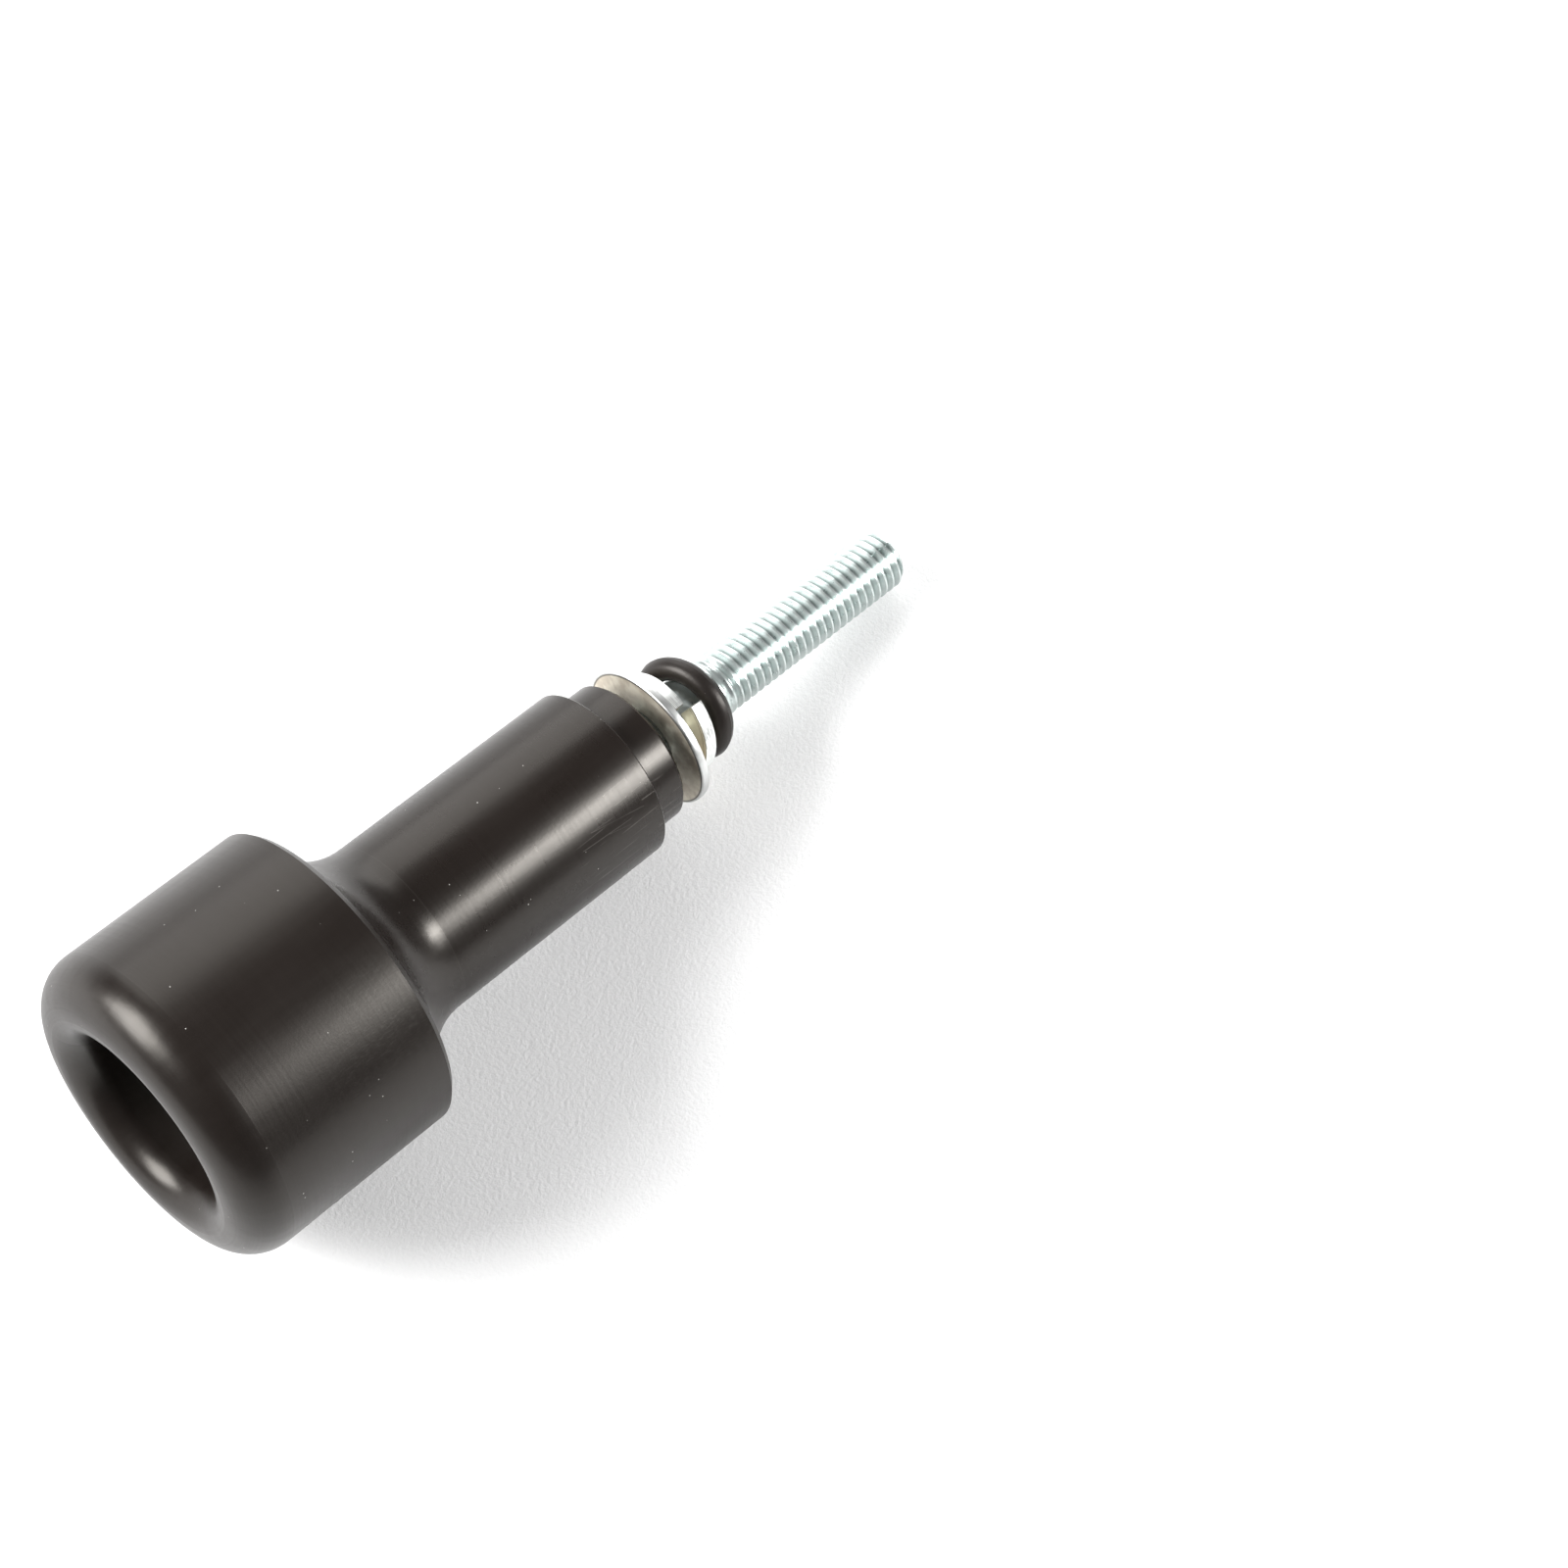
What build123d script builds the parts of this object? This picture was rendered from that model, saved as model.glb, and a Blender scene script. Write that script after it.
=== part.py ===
from build123d import *
import os
from math import asin, cos, degrees, radians, sin, tan

# Motorcycle frame slider: a turned plastic bobbin on the long bolt that fastens it to an engine mount.
# Millimetres. +X runs along the bolt to its tip. The origin is on the axis, where the thread begins.

# Slider body, turned in one piece
head_diameter = 50.0
head_length = 36.4
nose_round = 6.7
nose_round_share = 0.75
recess_clearance = 1.8
recess_depth = 20.65
recess_corner = 1.0
shoulder_edge = 0.9
cove_radius = 11.6
shank_diameter = 28.3
shoulder_to_step = 51.4
shank_edge = 0.25
spigot_diameter = 23.6
spigot_length = 6.3
spigot_edge = 0.5
bore_clearance = 0.25

# Mounting bolt, a part-threaded hexagon bolt
bolt_diameter = 10.0
bolt_length = 130.0
thread_length = 37.5
thread_allowance = 0.075
runout_length = 0.6
tip_chamfer = 1.1
hex_flats = 17.0
hex_height = 6.4
hex_crown_angle = 30.0
bearing_diameter = 15.6
bearing_height = 0.5

# Flat washers: one under the hexagon, one hanging on the bolt's free end
washer_diameter = 24.0
washer_thickness = 1.25
washer_clearance = 0.3
washer_edge = 0.35
washer_lean = 1.6
washer_lean_place = 28.0
washer_hang_gap = 0.05
washer_standoff = 3.45

# Split spring washer, wound left-handed
spring_inner_clearance = 0.35
spring_width = 3.7
spring_thickness = 2.2
spring_rise = 2.7
spring_split_angle = 7.0
spring_split_place = -14.0
spring_lean = 4.5
spring_gap = 0.3
nearness_steps = 72

# Rubber ring that keeps the washers on the bolt
ring_section = 3.55
ring_grip_gap = 0.02
ring_lean = 13.2
ring_lean_place = -24.5
ring_gap = 0.3

# Radii
head_r = head_diameter / 2
shank_r = shank_diameter / 2
spigot_r = spigot_diameter / 2
bolt_r = bolt_diameter / 2
bore_r = bolt_r + bore_clearance
thread_r = bolt_r - thread_allowance
bearing_r = bearing_diameter / 2
washer_r = washer_diameter / 2
washer_hole_r = bolt_r + washer_clearance
recess_r = washer_r + recess_clearance
spring_middle_r = bolt_r + spring_inner_clearance + spring_width / 2
spring_outer_r = spring_middle_r + spring_width / 2
ring_section_r = ring_section / 2
ring_middle_r = (bolt_r + ring_grip_gap + ring_section_r) / cos(radians(ring_lean))

# Stations along the axis, from the bolt's tip back to the nose
bearing_x = thread_length - bolt_length
seat_x = bearing_x + washer_thickness
nose_x = seat_x - recess_depth
shoulder_x = nose_x + head_length
step_x = shoulder_x + shoulder_to_step
spigot_end_x = step_x + spigot_length
washer_x = spigot_end_x + washer_standoff + washer_thickness / 2


def turned(outline):
    """Solid of revolution about the bolt's axis from a closed outline."""
    return revolve(make_face(outline), axis=Axis.X)


def lines(*points):
    """Straight edges from point to point, leaving out any of no length."""
    pairs = zip(points, points[1:])
    return [Line(a, b) for a, b in pairs if (Vector(*b) - Vector(*a)).length > 1e-6]


def leaning(x, lean, place=0.0, drop=0.0):
    """Location on the axis whose side at place, from +Z to +Y, leans towards the tip."""
    return Pos(x, 0, -drop) * Rot(-place, 0, 0) * Rot(0, lean, 0)


def cove_outline():
    """Concave round from the head's shoulder to the shank, and where it ends."""
    centre_r = shank_r + cove_radius
    start_r = min(centre_r, head_r - shoulder_edge)
    dip = asin((centre_r - start_r) / cove_radius)
    centre_x = shoulder_x + cove_radius * cos(dip)
    arc = CenterArc((centre_x, centre_r), cove_radius, 180 + degrees(dip), 90 - degrees(dip))
    return (shoulder_x, start_r), arc, (centre_x, shank_r)


def slider_body():
    """Head with a rounded nose and a deep recess, cove, shank and spigot, bored through."""
    lip_wall = head_r - recess_r
    outer_round = min(nose_round, nose_round_share * lip_wall)
    inner_round = lip_wall - outer_round
    corner = min(recess_corner, recess_clearance)
    cove_start, cove, cove_end = cove_outline()
    outline = lines((seat_x, bore_r), (seat_x, recess_r - corner))
    outline.append(CenterArc((seat_x - corner, recess_r - corner), corner, 0, 90))
    outline += lines((seat_x - corner, recess_r), (nose_x + inner_round, recess_r))
    outline.append(CenterArc((nose_x + inner_round, head_r - outer_round), inner_round, 180, 90))
    outline.append(CenterArc((nose_x + outer_round, head_r - outer_round), outer_round, 90, 90))
    outline += lines((nose_x + outer_round, head_r),
                     (shoulder_x - shoulder_edge, head_r),
                     (shoulder_x, head_r - shoulder_edge),
                     cove_start)
    outline.append(cove)
    outline += lines(cove_end,
                     (step_x - shank_edge, shank_r),
                     (step_x, shank_r - shank_edge),
                     (step_x, spigot_r),
                     (spigot_end_x - spigot_edge, spigot_r),
                     (spigot_end_x, spigot_r - spigot_edge),
                     (spigot_end_x, bore_r),
                     (seat_x, bore_r))
    return turned(outline)


def hexagon():
    """Bolt's hexagon, chamfered at its outer face, on a round bearing face."""
    outer_x = bearing_x - hex_height
    flats_end_x = bearing_x - bearing_height
    corner_r = hex_flats / 2 / cos(radians(30))
    chamfer_length = (corner_r - bearing_r) * tan(radians(hex_crown_angle))
    end_plane = Plane(origin=(outer_x, 0, 0), x_dir=(0, 1, 0), z_dir=(1, 0, 0))
    outline = end_plane * RegularPolygon(hex_flats / 2, 6, major_radius=False)
    crown = turned(lines((outer_x, 0), (outer_x, bearing_r),
                         (outer_x + chamfer_length, corner_r),
                         (flats_end_x, corner_r), (flats_end_x, bearing_r),
                         (bearing_x, bearing_r), (bearing_x, 0), (outer_x, 0)))
    prism = extrude(outline, hex_height)
    return prism & crown


def mounting_bolt():
    """Hexagon, plain shank, and the cylinder that the thread is rolled on."""
    stem = turned(lines((bearing_x, 0), (bearing_x, bolt_r),
                        (-runout_length, bolt_r),
                        (0, thread_r),
                        (thread_length - tip_chamfer, thread_r),
                        (thread_length, thread_r - tip_chamfer),
                        (thread_length, 0), (bearing_x, 0)))
    return hexagon() + stem


def flat_washer():
    """Punched washer about the origin, its outer edge broken on the side the punch came from."""
    half = washer_thickness / 2
    edge = min(washer_edge, half)
    return turned(lines((-half, washer_hole_r), (-half, washer_r - edge),
                        (edge - half, washer_r), (half, washer_r),
                        (half, washer_hole_r), (-half, washer_hole_r)))


def hanging_washer():
    """Washer hanging on the bolt, its top leaning towards the body."""
    lean = radians(washer_lean)
    hole_reach = washer_hole_r * cos(lean) - washer_thickness / 2 * sin(lean)
    drop = max(0, hole_reach - bolt_r - washer_hang_gap)
    return leaning(washer_x, -washer_lean, washer_lean_place, drop) * flat_washer()


def spring_start_x():
    """Station of the coil's start, clear of the hanging washer all the way round."""
    reach = spring_outer_r * (tan(radians(washer_lean)) + tan(radians(spring_lean)))
    start = spring_split_place + spring_split_angle / 2
    turn = 360 - spring_split_angle
    shares = [step / nearness_steps for step in range(nearness_steps + 1)]
    nearest = min(spring_rise * share + reach * cos(radians(start + turn * share)) for share in shares)
    return washer_x + (washer_thickness + spring_thickness) / 2 + spring_gap - nearest


def spring_washer():
    """Almost one turn of flat strip, sprung apart at the split."""
    turn = 360 - spring_split_angle
    start_angle = radians(spring_split_place + spring_split_angle / 2)
    path = Helix(spring_rise * 360 / turn, spring_rise, spring_middle_r, lefthand=True)
    strip_plane = Plane(origin=path @ 0, x_dir=(1, 0, 0), z_dir=path % 0)
    strip = strip_plane * Rectangle(spring_width, spring_thickness)
    coil = sweep(strip, path=path, is_frenet=True)
    split_plane = Plane(origin=(0, 0, 0), x_dir=(0, sin(start_angle), cos(start_angle)), z_dir=(1, 0, 0))
    return leaning(spring_start_x(), spring_lean) * (split_plane * coil)


def retaining_o_ring():
    """Rubber ring gripping the bolt askew, just clear of the spring washer."""
    ring_reach = ring_middle_r * tan(radians(ring_lean))
    spring_reach = spring_outer_r * tan(radians(spring_lean))
    low_side = spring_rise / 2 - spring_reach * spring_middle_r / spring_outer_r + ring_reach
    high_side = spring_rise + spring_reach - ring_reach
    spring_top_x = spring_start_x() + spring_thickness / 2
    ring_x = spring_top_x + max(low_side, high_side) + ring_section_r + ring_gap
    ring = Rot(0, 90, 0) * Torus(ring_middle_r, ring_section_r)
    return leaning(ring_x, ring_lean, ring_lean_place) * ring


os.makedirs("parts", exist_ok=True)
pieces = {
    "slider_body": slider_body(),
    "mounting_bolt": mounting_bolt(),
    "head_washer": Pos(seat_x - washer_thickness / 2, 0, 0) * flat_washer(),
    "flat_washer": hanging_washer(),
    "spring_washer": spring_washer(),
    "retaining_o_ring": retaining_o_ring(),
}
for name, piece in pieces.items():
    piece.label = name
    export_step(piece, f"parts/{name}.step")
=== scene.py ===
from math import atan2, hypot, pi, radians

import bmesh
import bpy
from mathutils import Matrix, Vector


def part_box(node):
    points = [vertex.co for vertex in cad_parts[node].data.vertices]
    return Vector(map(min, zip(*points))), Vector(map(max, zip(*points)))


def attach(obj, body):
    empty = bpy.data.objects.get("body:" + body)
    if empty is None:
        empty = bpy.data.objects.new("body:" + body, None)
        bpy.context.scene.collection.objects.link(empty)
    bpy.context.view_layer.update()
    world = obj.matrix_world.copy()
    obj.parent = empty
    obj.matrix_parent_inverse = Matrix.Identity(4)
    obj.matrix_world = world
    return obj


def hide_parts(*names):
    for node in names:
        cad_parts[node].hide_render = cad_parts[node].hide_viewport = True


# Motorcycle frame slider: a black turned bobbin on a zinc-plated bolt with
# washers and a rubber ring. Metres. +X runs along the bolt towards its tip.

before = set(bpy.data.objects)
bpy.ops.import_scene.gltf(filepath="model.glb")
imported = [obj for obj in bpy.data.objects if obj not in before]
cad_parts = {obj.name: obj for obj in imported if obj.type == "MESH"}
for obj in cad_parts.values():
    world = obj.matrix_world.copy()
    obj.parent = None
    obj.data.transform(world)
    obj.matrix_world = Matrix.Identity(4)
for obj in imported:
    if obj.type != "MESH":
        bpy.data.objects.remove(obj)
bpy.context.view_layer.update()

MM = 0.001
AXIS = Vector((1, 0, 0))

# Places and sizes read from the solids
nose_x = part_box("slider_body")[0].x
head_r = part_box("slider_body")[1].z
tip_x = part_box("mounting_bolt")[1].x
washer_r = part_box("head_washer")[1].z
head_washer_x = sum(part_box("head_washer"), Vector()).x / 2
washer_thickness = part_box("head_washer")[1].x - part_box("head_washer")[0].x
hanging_washer_place = sum(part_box("flat_washer"), Vector()) / 2
ring_place = sum(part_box("retaining_o_ring"), Vector()) / 2

# Slider body
head_length = 36.4 * MM
shoulder_x = nose_x + head_length
shoulder_edge = 0.9 * MM
cove_end_x = shoulder_x + 11.48 * MM

# How much closer the lathe's marks lie on a face across the axis than along it
face_ring_share = 1.31

# Patch of the shank that is rubbed, as the start and end of a ramp along each axis
rubbed_x, rubbed_y, rubbed_z = (-46 * MM, -36 * MM), (-4 * MM, -9 * MM), (-6 * MM, 2 * MM)

# Patch of the head that has been handled: middle and reach along X and Y, a ramp along Z
handled_x, handled_y, handled_z = (-83 * MM, 17 * MM), (-14 * MM, 9 * MM), (12 * MM, 18 * MM)

# Scuffs on the shank and a hair mark on the nose, in millimetres, each with its strength
scuff_width = 0.07
scuff_marks = [
    ((-39.0, -10.3, 9.7), (-29.6, -10.7, 9.3), 0.9),
    ((-36.6, -9.1, 10.8), (-27.0, -10.4, 9.6), 0.7),
    ((-26.9, -9.7, 10.3), (-23.9, -9.8, 10.2), 1.0),
    ((-33.9, -10.6, 9.4), (-30.1, -11.2, 8.7), 0.6),
    ((-110.0, -19.9, 14.0), (-107.3, -20.1, 14.9), 1.0),
]

# Bolt and its thread, made with spare turns that are cut off at both ends
bolt_r = 5.0 * MM
thread_r = 4.925 * MM
thread_pitch = 1.5 * MM
spare_turns = 2
thread_depth = 0.589 * thread_pitch
crest_flat = 0.2 * thread_pitch
root_flat = 0.12 * thread_pitch
runout_start_x = -2.0 * MM
runout_length = 3.2 * MM
shank_cone_x = -0.6 * MM
tip_chamfer = 1.1 * MM

# Washers
washer_hole_r = 5.3 * MM
washer_lean = radians(-1.6)
washer_lean_place = radians(28.0)
washer_rolled_edge = 0.35 * MM
washer_burr_edge = 0.08 * MM
spring_inner_r = 5.35 * MM
spring_width = 3.7 * MM
spring_thickness = 2.2 * MM
spring_rise = 2.7 * MM
spring_corner = 0.22 * MM
spring_split = radians(7.0)
spring_split_place = radians(-14.0)
spring_lean = radians(4.5)
spring_cut_reach = radians(0.7)
spring_start_x = -12.09 * MM

# Rubber ring
ring_section_r = 1.775 * MM
ring_middle_r = 6.98 * MM
ring_lean = radians(13.2)
ring_lean_place = radians(-24.5)
ring_flash = 0.05 * MM

# Fineness of the meshes, and the angle below which an edge is shaded smooth
round_steps = 144
thread_steps = 84
flank_cuts = 3
corner_steps = 3
ring_steps = 40
weld_distance = 1e-7
smooth_limit = radians(28)

# Colours and refraction of plastic and rubber
plastic_ior = 1.4
acetal_shades = (0.0064, 0.0044, 0.0036), (0.0136, 0.0102, 0.0088)
rubber_shades = (0.0066, 0.0048, 0.0042), (0.015, 0.0118, 0.0106)
scuff_colour = (0.55, 0.52, 0.48)
dust_colour = (0.6, 0.58, 0.55)
rubber_dust_colour = (0.4, 0.38, 0.35)
warm_gloss = (1.0, 0.95, 0.88)
rubber_gloss = (1.0, 0.95, 0.9)

# Colours of zinc plating, and of the stains and shadows on it
bolt_shades = (0.44, 0.51, 0.50), (0.67, 0.715, 0.70)
# Painted shade down in the bolt thread's groove
groove_shade_colour = (0.16, 0.19, 0.19)
face_shades = (0.80, 0.745, 0.62), (0.57, 0.505, 0.41)
rim_shades = (0.54, 0.55, 0.54), (0.75, 0.76, 0.75)
# Painted shade for the dark line where a washer's face turns into its rolled edge
roll_shade_colour = (0.05, 0.045, 0.04)
spring_shades = (0.80, 0.83, 0.82), (0.95, 0.97, 0.95)
worn_shades = (0.80, 0.76, 0.62), (0.97, 0.94, 0.82)
# Colour of stains, cut marks and two dark lines along the spring's outer edge
dark_mark_colour = (0.12, 0.12, 0.11)
cut_colour = (0.08, 0.08, 0.07)

# Heights of the fine relief
acetal_relief = 0.006 * MM
bolt_relief = 0.01 * MM
sheet_relief = 0.02 * MM
spring_relief = 0.014 * MM
rubber_relief = 0.02 * MM
paper_relief = 0.14 * MM

# Table
table_half = 2.0
paper_colour = (0.87, 0.87, 0.87)

# Camera
camera_place = Vector((-234.2, -122.6, 455.3)) * MM
camera_aim = Vector((-3.3, -18.7, 0)) * MM
camera_up = Vector((0.55824, 0.70144, 0.44312))
camera_lens = 79.55
camera_sensor = 36.0
camera_near = 0.01

# Strength of the even light from all round
room_light = 0.17

# Soft lights: place, the station on the axis that each faces, width and height, power in watts
softboxes = {
    "left_softbox": ((-0.73, 0.545, 0.43), -0.08, (0.55, 0.58), 20),
    "right_softbox": ((0.265, -0.403, 0.41), -0.04, (0.17, 0.2), 4.6),
    "back_panel": ((0.464, 0.936, 0.56), -0.04, (1.0, 0.96), 9.2),
}


def add_piece(name, form, body, finish, stands_for):
    """Show a bmesh as a piece of the slider, in place of one of the solids."""
    mesh = to_mesh(form, name)
    mesh.materials.append(finish)
    piece = bpy.data.objects.new(name, mesh)
    bpy.context.scene.collection.objects.link(piece)
    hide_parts(stands_for)
    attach(piece, body)


def to_mesh(form, name):
    """Turn a bmesh into a mesh with outward faces and crisp edges where it turns sharply."""
    weld(form)
    bmesh.ops.recalc_face_normals(form, faces=form.faces)
    for face in form.faces:
        face.smooth = True
    for edge in form.edges:
        edge.smooth = edge.calc_face_angle(0) < smooth_limit
    mesh = bpy.data.meshes.new(name)
    form.to_mesh(mesh)
    form.free()
    return mesh


def weld(form):
    """Join corners that lie on each other."""
    bmesh.ops.remove_doubles(form, verts=form.verts, dist=weld_distance)


def close_ends(form):
    """Fill each open loop with a flat cap."""
    rim = [edge for edge in form.edges if edge.is_boundary]
    bmesh.ops.holes_fill(form, edges=rim, sides=0)


def leaning(place, lean, lean_place=0.0):
    """Matrix of a piece on the axis whose side at lean_place leans towards the tip by lean."""
    turn = Matrix.Rotation(-lean_place, 4, "X")
    return Matrix.Translation(place) @ turn @ Matrix.Rotation(lean, 4, "Y") @ turn.inverted()


def rounded_section(inner_r, outer_r, thickness, corners):
    """Bmesh of a rectangle in the XZ plane; each of corners gives its sides in X and Z and its radius."""
    form = bmesh.new()
    bmesh.ops.create_grid(form, x_segments=1, y_segments=1, size=0.5)
    stretch = Matrix.Diagonal((thickness, outer_r - inner_r, 1, 1))
    stand = Matrix.Rotation(pi / 2, 4, "X")
    lift = Matrix.Translation((0, 0, (inner_r + outer_r) / 2))
    bmesh.ops.transform(form, matrix=lift @ stand @ stretch, verts=form.verts)
    for side, level, radius in corners:
        corner = max(form.verts, key=lambda vert: side * vert.co.x + level * vert.co.z)
        bmesh.ops.bevel(form, geom=[corner], offset=radius, segments=corner_steps, profile=0.5,
                        affect="VERTICES", material=-1)
    bmesh.ops.delete(form, geom=form.faces[:], context="FACES_ONLY")
    return form


def spun(form, steps, angle=2 * pi, advance=0.0):
    """Turn a section about the bolt's axis, moving it along by advance over the whole angle."""
    bmesh.ops.spin(form, geom=form.verts[:] + form.edges[:], cent=(0, 0, 0), axis=AXIS,
                   dvec=(advance / steps, 0, 0), angle=angle, steps=steps,
                   use_merge=False, use_duplicate=False)
    weld(form)
    return form


def flat_washer(matrix):
    """Punched washer: its rim rolled over on the side the punch came from, with a burr on the other."""
    corners = [(-1, 1, washer_rolled_edge), (1, 1, washer_burr_edge),
               (-1, -1, washer_rolled_edge), (1, -1, washer_burr_edge)]
    form = spun(rounded_section(washer_hole_r, washer_r, washer_thickness, corners), round_steps)
    bmesh.ops.transform(form, matrix=matrix, verts=form.verts)
    return form


def spring_washer():
    """Left-handed turn of flat strip with square-cut ends."""
    outer_r = spring_inner_r + spring_width
    corners = [(side, level, spring_corner) for side in (1, -1) for level in (1, -1)]
    form = rounded_section(spring_inner_r, outer_r, spring_thickness, corners)
    form = spun(form, round_steps, -(2 * pi - spring_split), spring_rise)
    close_ends(form)
    start = Matrix.Rotation(-(spring_split_place + spring_split / 2), 4, "X")
    place = leaning((spring_start_x, 0, 0), spring_lean) @ start
    bmesh.ops.transform(form, matrix=place, verts=form.verts)
    return form


def retaining_ring():
    """Moulded rubber ring with a fine flash line round its outside."""
    form = bmesh.new()
    bmesh.ops.create_circle(form, segments=ring_steps, radius=ring_section_r)
    stand = Matrix.Translation((0, 0, ring_middle_r)) @ Matrix.Rotation(pi / 2, 4, "X")
    bmesh.ops.transform(form, matrix=stand, verts=form.verts)
    for vert in form.verts:
        height = vert.co.z - ring_middle_r
        if abs(vert.co.x) < weld_distance and height > 0:
            vert.co.z += ring_flash
    spun(form, round_steps)
    place = leaning(ring_place, ring_lean, ring_lean_place)
    bmesh.ops.transform(form, matrix=place, verts=form.verts)
    return form


def bolt_shank():
    """Plain shank and hexagon, cut from the solid where the thread takes over."""
    form = bmesh.new()
    form.from_mesh(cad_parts["mounting_bolt"].data)
    weld(form)
    bmesh.ops.bisect_plane(form, geom=form.verts[:] + form.edges[:] + form.faces[:],
                           plane_co=(runout_start_x, 0, 0), plane_no=AXIS, clear_outer=True)
    close_ends(form)
    return form


def groove_r(x, depth):
    """Radius at station x of a point that lies depth below the thread's crest."""
    cone = min(1, max(0, 1 - x / shank_cone_x))
    cut = min(1, max(0, (x - runout_start_x) / runout_length))
    crest = bolt_r + (thread_r - bolt_r) * cone
    return min(crest - depth * cut, thread_r + tip_x - tip_chamfer - x)


def bolt_thread():
    """Right-handed V thread that runs out into the shank and is chamfered at the tip."""
    flank = (thread_pitch - crest_flat - root_flat) / 2
    # Distance along the axis and depth of each corner of one turn
    turn_shape = [(0, 0), (crest_flat / 2, 0), (crest_flat / 2 + flank, thread_depth),
                  (crest_flat / 2 + flank + root_flat, thread_depth), (thread_pitch - crest_flat / 2, 0)]
    form = bmesh.new()
    turns = int((tip_x - runout_start_x) / thread_pitch) + 2 * spare_turns
    start_x = runout_start_x - spare_turns * thread_pitch
    corners = [form.verts.new((start_x + turn * thread_pitch + x, 0, thread_r - depth))
               for turn in range(turns) for x, depth in turn_shape]
    for a, b in zip(corners, corners[1:]):
        form.edges.new((a, b))
    flanks = [edge for edge in form.edges if edge.calc_length() > flank]
    bmesh.ops.subdivide_edges(form, edges=flanks, cuts=flank_cuts)
    spun(form, thread_steps, advance=thread_pitch)
    for vert in form.verts:
        r = hypot(vert.co.y, vert.co.z)
        # Beyond the tip, where it is cut off below, the cone stops short of the axis
        wanted = max(groove_r(vert.co.x, thread_r - r), thread_r / 2)
        vert.co.yz = Vector((vert.co.y, vert.co.z)) * wanted / r
    for x, side in ((runout_start_x, -1), (tip_x, 1)):
        bmesh.ops.bisect_plane(form, geom=form.verts[:] + form.edges[:] + form.faces[:],
                               plane_co=(x, 0, 0), plane_no=AXIS * side, clear_outer=True)
    weld(form)
    close_ends(form)
    return form


class Value:
    """A number that changes over a surface and takes part in Python's arithmetic."""

    def __init__(self, finish, socket):
        self.finish = finish
        self.socket = socket

    def maths(self, operation, *values):
        """One step of arithmetic on numbers."""
        return self.finish.node("ShaderNodeMath", {"operation": operation}, dict(enumerate(values)))

    def __add__(self, other):
        return self.maths("ADD", self, other)

    def __radd__(self, other):
        return self.maths("ADD", other, self)

    def __mul__(self, other):
        return self.maths("MULTIPLY", self, other)

    def between(self, low, high):
        """0 below low, 1 above high, smooth in between; high may be the lower one."""
        settings = {"interpolation_type": "SMOOTHSTEP", "clamp": True}
        ranges = {"Value": self, "From Min": low, "From Max": high, "To Min": 0, "To Max": 1}
        return self.finish.node("ShaderNodeMapRange", settings, ranges)

    def near(self, middle, reach):
        """1 at middle, falling to 0 at reach on either side."""
        return self.between(middle - reach, middle) * self.between(middle + reach, middle)


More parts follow.
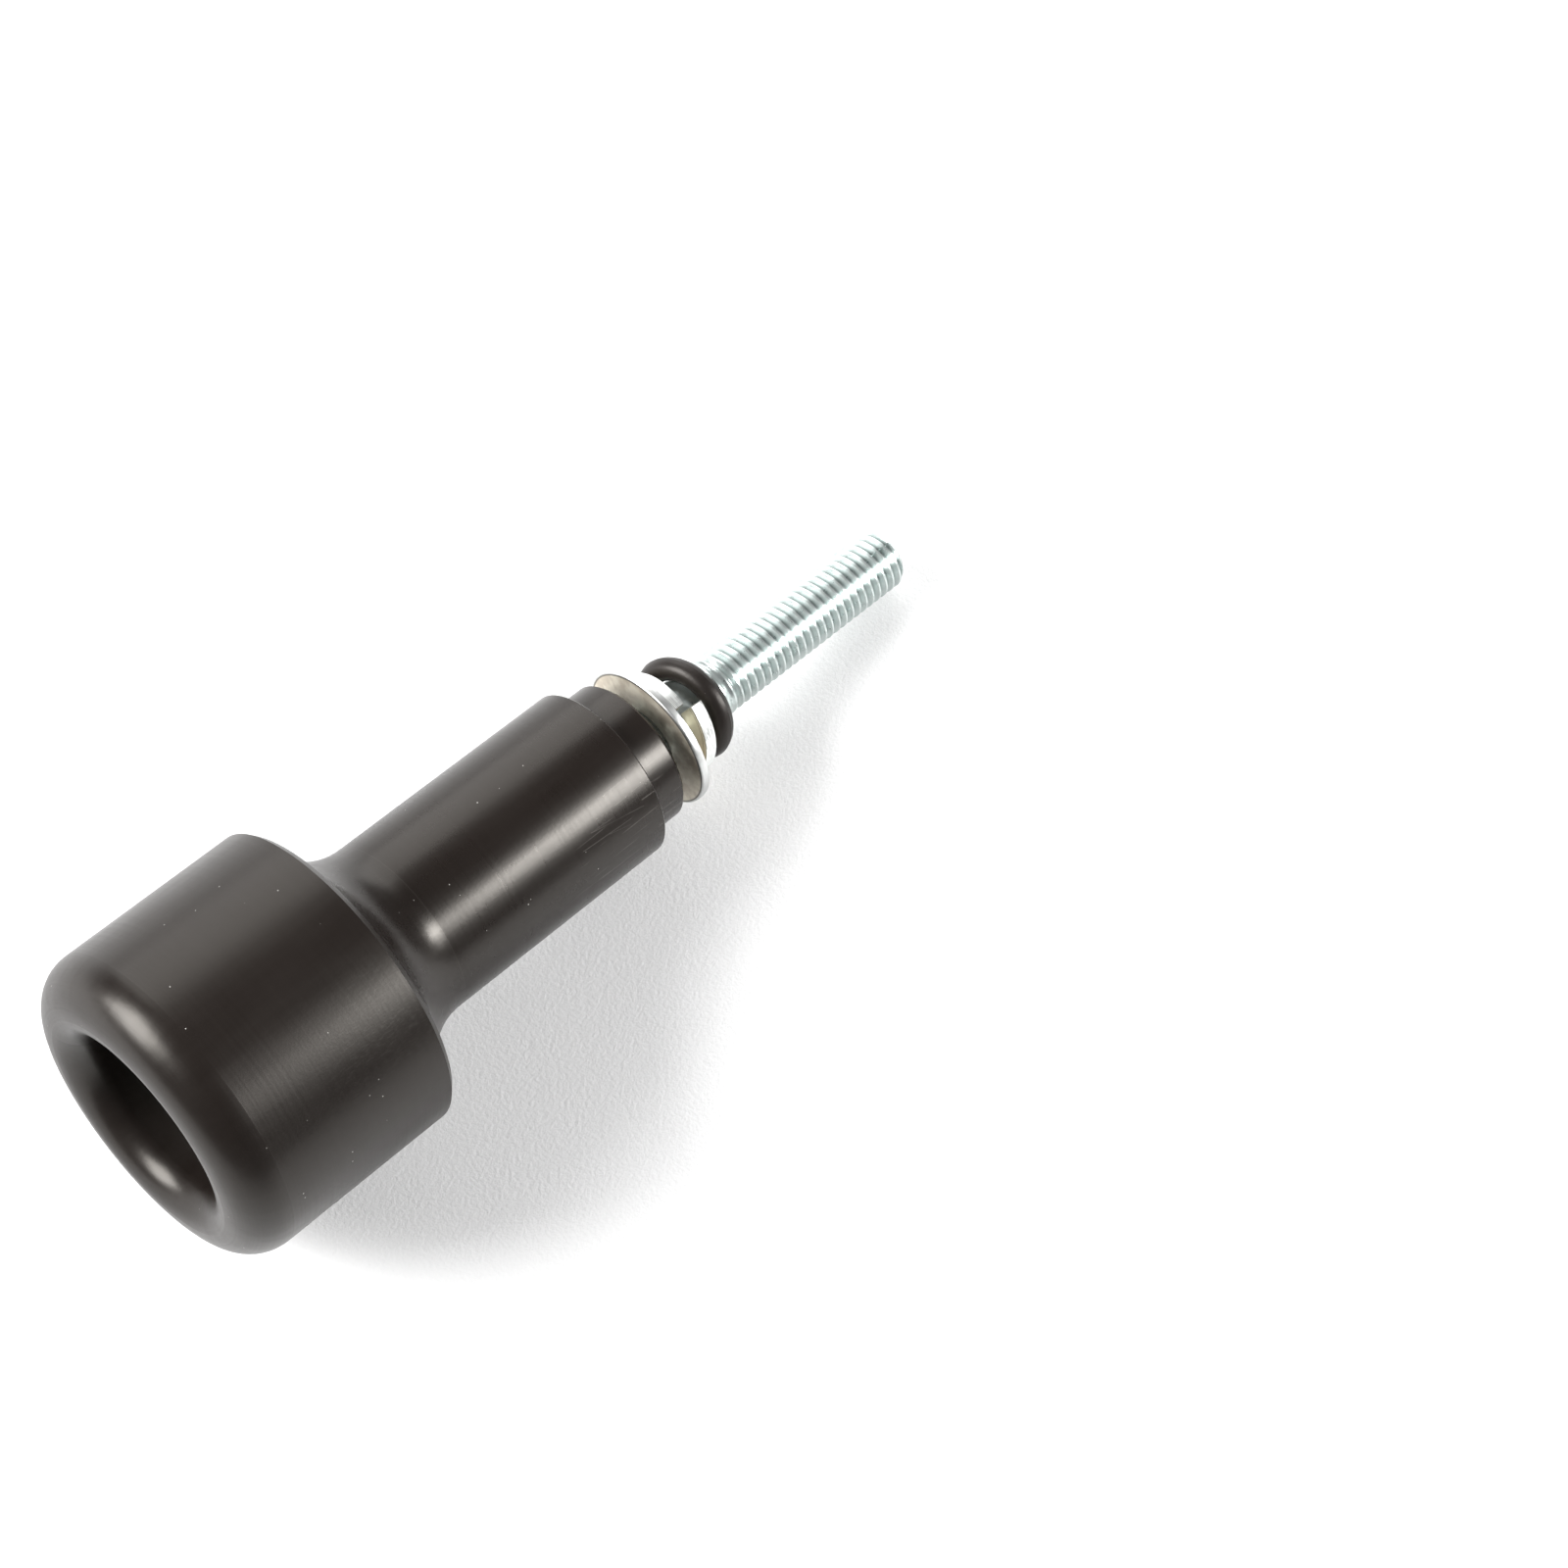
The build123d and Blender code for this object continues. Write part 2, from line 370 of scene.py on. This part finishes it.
class Finish:
    """One material, its nodes made by node() and its look set by surface()."""

    def __init__(self, name):
        self.material = bpy.data.materials.new(name)
        self.material.use_nodes = True
        self.tree = self.material.node_tree
        self.shader = self.tree.nodes["Principled BSDF"]
        self.place = self.node("ShaderNodeTexCoord", {}, {}, "Object")

    def link(self, socket, value):
        """Feed a socket from a node, or set it to a constant."""
        if isinstance(value, Value):
            self.tree.links.new(value.socket, socket)
        else:
            socket.default_value = value

    def node(self, kind, settings, inputs, output=0):
        """Add a node with its settings first, then its sockets; gives one output."""
        made = self.tree.nodes.new(kind)
        for key, value in settings.items():
            setattr(made, key, value)
        for key, value in inputs.items():
            self.link(made.inputs[key], value)
        return Value(self, made.outputs[output])

    def parts(self):
        """X, Y and Z of the place on the surface."""
        split = self.node("ShaderNodeSeparateXYZ", {}, {0: self.place}).socket.node
        return [Value(self, output) for output in split.outputs]

    def along(self, centre, axis):
        """Distance from a centre along an axis through it, and distance from that axis."""
        away = self.vector("SUBTRACT", self.place, centre)
        run = self.vector("DOT_PRODUCT", away, axis, output="Value")
        foot = self.vector("SCALE", axis, Scale=run)
        return run, self.vector("DISTANCE", away, foot, output="Value")

    def radius(self):
        """Distance from the bolt's axis."""
        return self.along((0, 0, 0), AXIS)[1]

    def stretched(self, scale):
        """The place with each direction scaled by itself."""
        return self.node("ShaderNodeMapping", {}, {"Vector": self.place, "Scale": scale})

    def noise(self, scale=1.0, detail=2.0, vector=None, rough=0.5):
        """Cloudy noise between 0 and 1."""
        inputs = {"Vector": vector or self.place, "Scale": scale, "Detail": detail, "Roughness": rough}
        return self.node("ShaderNodeTexNoise", {}, inputs)

    def rings(self, per_mm, detail):
        """Noise that runs round the axis as the marks of a lathe do, on faces across the axis too."""
        along = (self.parts()[0] + self.radius() * face_ring_share) * (per_mm / MM)
        return self.node("ShaderNodeTexNoise", {"noise_dimensions": "1D"},
                         {"W": along, "Scale": 1.0, "Detail": detail})

    def dots(self, scale, size):
        """Small spots, 1 inside."""
        far = self.node("ShaderNodeTexVoronoi", {}, {"Vector": self.place, "Scale": scale}, "Distance")
        return far.between(size, size * 0.5)

    def vector(self, operation, *values, output="Vector", **inputs):
        """One step of arithmetic on places or directions."""
        sockets = {**dict(enumerate(values)), **inputs}
        return self.node("ShaderNodeVectorMath", {"operation": operation}, sockets, output)

    def scratch(self, start, end, width):
        """Straight mark from start to end in mm, 1 along its middle."""
        run = (Vector(end) - Vector(start)) * MM
        away = self.vector("SUBTRACT", self.place, Vector(start) * MM)
        share = self.vector("DOT_PRODUCT", away, run / run.length_squared, output="Value")
        share = self.node("ShaderNodeClamp", {}, {"Value": share})
        foot = self.vector("SCALE", run, Scale=share)
        return self.vector("DISTANCE", away, foot, output="Value").between(width * MM, 0)

    def blend(self, factor, first, second):
        """Mix two colours, each a triple or a link."""
        rgba = [(*colour, 1) if isinstance(colour, tuple) else colour for colour in (first, second)]
        # The node's sockets for colours are inputs 6 and 7 and output 2
        return self.node("ShaderNodeMix", {"data_type": "RGBA"}, {0: factor, 6: rgba[0], 7: rgba[1]}, 2)

    def bump(self, height, distance):
        """Normal of a relief that is distance high where height is 1."""
        inputs = {"Height": height, "Distance": distance, "Strength": 1.0}
        return self.node("ShaderNodeBump", {}, inputs)

    def surface(self, **looks):
        """Set the shader's own sockets by name, with _ for a space."""
        for name, value in looks.items():
            if isinstance(value, tuple):
                value = (*value, 1)
            self.link(self.shader.inputs[name.replace("_", " ")], value)
        return self.material


def black_acetal():
    """Turned black plastic: satin, with lathe rings, handling haze, dust and scuffs."""
    finish = Finish("black_acetal")
    x, y, z = finish.parts()
    head = x.between(shoulder_x, shoulder_x - shoulder_edge)
    haze = finish.noise(scale=60, detail=4)
    smear = finish.noise(detail=4, vector=finish.stretched((70, 520, 520)))
    fine_rings = finish.rings(per_mm=1.7, detail=1)
    broad_rings = finish.rings(per_mm=0.6, detail=2)
    grain = finish.noise(scale=1900, detail=1)
    dust = finish.dots(scale=520, size=0.06) * finish.noise(scale=170, detail=1).between(0.52, 0.6)
    rubbed_place = x.between(*rubbed_x) * y.between(*rubbed_y) * z.between(*rubbed_z)
    rubbed = finish.noise(detail=2, vector=finish.stretched((120, 3400, 3400))).between(0.63, 0.7)
    rubbed = rubbed * rubbed_place
    handled_place = x.near(*handled_x) * y.near(*handled_y) * z.between(*handled_z) * head
    handled = finish.noise(detail=3, vector=finish.stretched((900, 4200, 2800))).between(0.52, 0.66)
    handled = handled * handled_place
    scuffs = rubbed * 0.5 + handled * 0.16
    for start, end, strength in scuff_marks:
        scuffs = scuffs + finish.scratch(start, end, scuff_width) * strength
    witness = x.near(cove_end_x, 0.1 * MM)
    shade = haze * 0.45 + smear * 0.35 + broad_rings * 0.2
    colour = finish.blend(shade, *acetal_shades)
    colour = finish.blend(scuffs * 0.16 + witness * 0.02, colour, scuff_colour)
    colour = finish.blend(dust * 0.8, colour, dust_colour)
    height = fine_rings * 0.5 + broad_rings * 0.2 + witness * 0.5 + scuffs + grain * 0.8
    normal = finish.bump(height, acetal_relief)
    rough = 0.18 + head * 0.04 + haze * 0.07 + smear * 0.1 + fine_rings * 0.05 + dust * 0.3
    return finish.surface(Base_Color=colour, Roughness=rough, IOR=plastic_ior, Specular_Tint=warm_gloss,
                          Normal=normal)


def zinc_bolt():
    """Bright bluish zinc plating, with painted shade down in the thread's groove."""
    finish = Finish("zinc_plated_bolt")
    mottle = finish.noise(scale=900, detail=3)
    streak = finish.noise(detail=2, vector=finish.stretched((4000, 700, 700)))
    colour = finish.blend(mottle, *bolt_shades)
    x = finish.parts()[0]
    threaded = x.between(runout_start_x, 0) * x.between(tip_x - 0.02 * MM, tip_x - 0.1 * MM)
    # Painted shade: the colour darkens towards the bottom of the thread's groove
    groove_shade = finish.radius().between(thread_r - thread_depth * 0.5, thread_r - thread_depth) * threaded
    colour = finish.blend(groove_shade * 0.4, colour, groove_shade_colour)
    normal = finish.bump(mottle * 0.5 + streak * 0.5, bolt_relief)
    return finish.surface(Base_Color=colour, Metallic=0.78, Roughness=0.23 + mottle * 0.12, Normal=normal)


def zinc_washer(name, matrix):
    """Zinc-plated sheet: faces stained tan, a bright rim with shear marks, and a dark line of painted
    shade where the face turns into its rolled edge.
    """
    finish = Finish(name)
    run, own_r = finish.along(matrix.translation, matrix.to_3x3() @ AXIS)
    rolled_r = washer_r - washer_rolled_edge
    mottle = finish.noise(scale=900, detail=4)
    blotch = finish.noise(scale=330, detail=4, rough=0.6)
    shear = finish.noise(detail=2, vector=finish.stretched((120, 5200, 5200)))
    rim = own_r.between(rolled_r - 0.04 * MM, rolled_r + 0.04 * MM)
    # Painted shade: a dark line where the face turns into the rolled edge, on its rolled side
    roll_shade = own_r.near(rolled_r - 0.1 * MM, 0.22 * MM) * run.between(0, -0.3 * MM)
    face = finish.blend(blotch.between(0.36, 0.64), *face_shades)
    colour = finish.blend(rim, face, finish.blend(mottle, *rim_shades))
    colour = finish.blend(roll_shade * 0.85, colour, roll_shade_colour)
    normal = finish.bump(mottle * 0.5 + shear * rim, sheet_relief)
    return finish.surface(Base_Color=colour, Metallic=0.6 + rim * 0.4, Roughness=0.34 + mottle * 0.08,
                          Normal=normal)


def zinc_spring():
    """Bright zinc strip, tan on its flat faces, with two dark lines along its rounded outer edge and fine
    marks near its cut.
    """
    finish = Finish("zinc_spring")
    y, z = finish.parts()[1:]
    own_r = finish.along((spring_start_x, 0, 0), Matrix.Rotation(spring_lean, 3, "Y") @ AXIS)[1]
    outer_r = spring_inner_r + spring_width
    mottle = finish.noise(scale=800, detail=4)
    outside = own_r.between(outer_r - 0.14 * MM, outer_r - 0.06 * MM)
    zinc = finish.blend(mottle, *spring_shades)
    worn = finish.blend(mottle, *worn_shades)
    near_cut = y.between(1.4 * MM, -0.2 * MM) * z.between(0, 5 * MM) * outside
    lengthwise = finish.noise(detail=1, vector=finish.stretched((5200, 60, 900))).between(0.5, 0.6)
    stain = finish.noise(scale=420, detail=4).between(0.58, 0.68) * outside
    # Two dark lines along the outer edge of the flat faces
    edges = own_r.near(outer_r - 0.16 * MM, 0.14 * MM) + own_r.near(outer_r - 0.62 * MM, 0.16 * MM) * 0.7
    angle = y.maths("ARCTAN2", y, z)
    ends = [spring_split_place + side * spring_split / 2 for side in (1, -1)]
    cut = angle.near(ends[0], spring_cut_reach) + angle.near(ends[1], spring_cut_reach)
    colour = finish.blend(outside, worn, zinc)
    dark = near_cut * lengthwise * 0.45 + stain * 0.3 + edges * 0.7
    colour = finish.blend(dark, colour, dark_mark_colour)
    colour = finish.blend(cut * 0.8, colour, cut_colour)
    normal = finish.bump(mottle, spring_relief)
    return finish.surface(Base_Color=colour, Metallic=0.65, Roughness=0.26 + mottle * 0.14, Normal=normal)


def black_rubber():
    """Moulded nitrile rubber with a little dust."""
    finish = Finish("black_rubber")
    grain = finish.noise(scale=2600, detail=3)
    haze = finish.noise(scale=240, detail=3)
    dust = finish.dots(scale=900, size=0.05) * finish.noise(scale=300, detail=1).between(0.55, 0.62)
    colour = finish.blend(haze, *rubber_shades)
    colour = finish.blend(dust * 0.4, colour, rubber_dust_colour)
    normal = finish.bump(grain, rubber_relief)
    return finish.surface(Base_Color=colour, Roughness=0.34 + haze * 0.14, IOR=plastic_ior,
                          Specular_Tint=rubber_gloss, Normal=normal)


def table_paper():
    """White sheet with a fine tooth, clear from below, so that it never hides the slider."""
    finish = Finish("table_paper")
    tooth = finish.noise(scale=1600, detail=4, rough=0.6)
    normal = finish.bump(tooth, paper_relief)
    paper = finish.surface(Base_Color=paper_colour, Roughness=0.75, Normal=normal)
    below = finish.node("ShaderNodeNewGeometry", {}, {}, "Backfacing")
    top = Value(finish, finish.shader.outputs["BSDF"])
    clear = finish.node("ShaderNodeBsdfTransparent", {}, {})
    sheet = finish.node("ShaderNodeMixShader", {}, {0: below, 1: top, 2: clear})
    finish.link(finish.tree.nodes["Material Output"].inputs["Surface"], sheet)
    return paper


def lay_table():
    """Pale sheet that the slider lies on, by its shoulder's edge and the bolt's tip."""
    rim = Vector((shoulder_x - shoulder_edge, 0, -head_r))
    tip = Vector((tip_x - tip_chamfer, 0, -thread_r))
    slope = atan2(tip.z - rim.z, tip.x - rim.x)
    form = bmesh.new()
    bmesh.ops.create_grid(form, x_segments=1, y_segments=1, size=table_half)
    place = Matrix.Translation(rim) @ Matrix.Rotation(-slope, 4, "Y")
    bmesh.ops.transform(form, matrix=place, verts=form.verts)
    mesh = bpy.data.meshes.new("table")
    form.to_mesh(mesh)
    form.free()
    table = bpy.data.objects.new("table", mesh)
    mesh.materials.append(table_paper())
    bpy.context.scene.collection.objects.link(table)


def axes_matrix(place, aim, up):
    """Matrix of a camera or lamp at place that looks at aim."""
    back = (place - aim).normalized()
    right = up.cross(back).normalized()
    turn = Matrix((right, back.cross(right), back)).transposed().to_4x4()
    return Matrix.Translation(place) @ turn


def add_camera():
    """Camera at the photograph's place."""
    data = bpy.data.cameras.new("camera")
    data.lens = camera_lens
    data.sensor_width = camera_sensor
    data.clip_start = camera_near
    camera = bpy.data.objects.new("camera", data)
    camera.matrix_world = axes_matrix(camera_place, camera_aim, camera_up)
    bpy.context.scene.collection.objects.link(camera)
    bpy.context.scene.camera = camera


def add_softbox(name, place, aim_x, size, power):
    """Rectangular soft light that faces a point of the bolt's axis."""
    data = bpy.data.lights.new(name, "AREA")
    data.shape = "RECTANGLE"
    data.size, data.size_y = size
    data.energy = power
    lamp = bpy.data.objects.new(name, data)
    lamp.matrix_world = axes_matrix(Vector(place), AXIS * aim_x, Vector((0, 0, 1)))
    bpy.context.scene.collection.objects.link(lamp)


def light_room():
    """Dim even room with softboxes on both sides and a wide panel behind."""
    world = bpy.data.worlds.new("room")
    world.use_nodes = True
    world.node_tree.nodes["Background"].inputs["Color"].default_value = (1, 1, 1, 1)
    world.node_tree.nodes["Background"].inputs["Strength"].default_value = room_light
    bpy.context.scene.world = world
    bpy.context.scene.view_settings.view_transform = "Standard"
    for name, setting in softboxes.items():
        add_softbox(name, *setting)


under_head = Matrix.Translation((head_washer_x, 0, 0))
hanging = leaning(hanging_washer_place, washer_lean, washer_lean_place)
bolt_zinc = zinc_bolt()
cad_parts["slider_body"].data.materials.clear()
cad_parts["slider_body"].data.materials.append(black_acetal())
add_piece("bolt_shank", bolt_shank(), "bolt", bolt_zinc, "mounting_bolt")
add_piece("bolt_thread", bolt_thread(), "bolt", bolt_zinc, "mounting_bolt")
add_piece("washer_under_head", flat_washer(under_head), "head_washer",
          zinc_washer("head_washer_zinc", under_head), "head_washer")
add_piece("hanging_washer", flat_washer(hanging), "bolt",
          zinc_washer("hanging_washer_zinc", hanging), "flat_washer")
add_piece("split_washer", spring_washer(), "bolt", zinc_spring(), "spring_washer")
add_piece("rubber_ring", retaining_ring(), "bolt", black_rubber(), "retaining_o_ring")

lay_table()
add_camera()
light_room()
